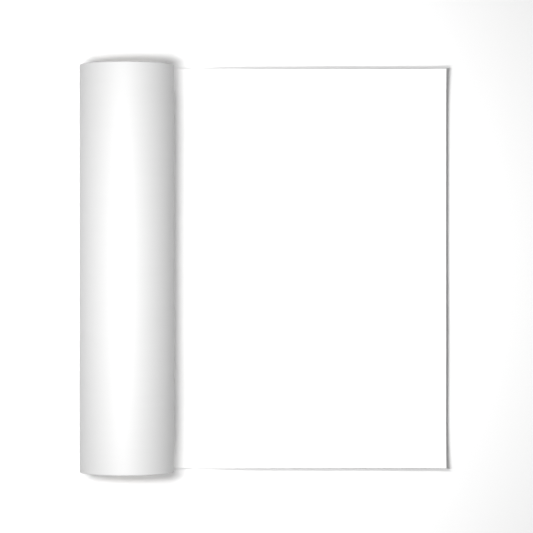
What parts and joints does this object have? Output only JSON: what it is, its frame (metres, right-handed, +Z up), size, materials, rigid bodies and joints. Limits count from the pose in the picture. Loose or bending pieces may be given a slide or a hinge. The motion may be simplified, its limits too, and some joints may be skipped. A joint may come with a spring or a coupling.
{
  "type": "roll of sign vinyl",
  "caption": "Roll of white self-adhesive sign vinyl on a paperboard core, lying on its side with the first half metre of web unrolled flat from underneath.",
  "frame": {"origin": "middle of the bounding box's lowest face, on the table that the roll and the flat web lie on", "axes": "+X along the flat web towards its free edge, +Y along the roll, +Z up"},
  "size_m": [0.5542, 0.6096, 0.1413],
  "materials": {
    "face_film": "gloss",
    "adhesive": "satin",
    "release_liner": "satin",
    "wound_edges": "matte",
    "starter_tape": "satin",
    "core_skin": "satin",
    "core_board": "matte",
    "label_paper": "matte"
  },
  "bodies": {
    "unrolled_web": {"flat_film": "face_film", "flat_adhesive": "adhesive", "flat_liner": "release_liner"},
    "outer_turn": {"outer_turn_film": "face_film", "outer_turn_adhesive": "adhesive", "outer_turn_liner": "release_liner"},
    "wound_roll": {"wound_web": "wound_edges", "starter_tape": "starter_tape", "core_outer_ply": "core_skin", "core_body_plies": "core_board", "core_inner_ply": "core_skin", "core_label": "label_paper"}
  },
  "joints": [
    {"name": "roll_travel", "type": "slide", "parent": "unrolled_web", "child": "outer_turn", "axis": [1, 0, 0], "range_m": [0, 0.3635], "deforming": ["flat_film", "flat_adhesive", "flat_liner"]},
    {"name": "roll_spin", "type": "hinge", "parent": "outer_turn", "child": "wound_roll", "pos_m": [-0.20638, 0, 0.07073], "axis": [0, 1, 0], "range_deg": [0, 294.5]}
  ],
  "couplings": [
    {"joint": "roll_spin", "follows": "roll_travel", "rad_per_m": 14.138}
  ]
}
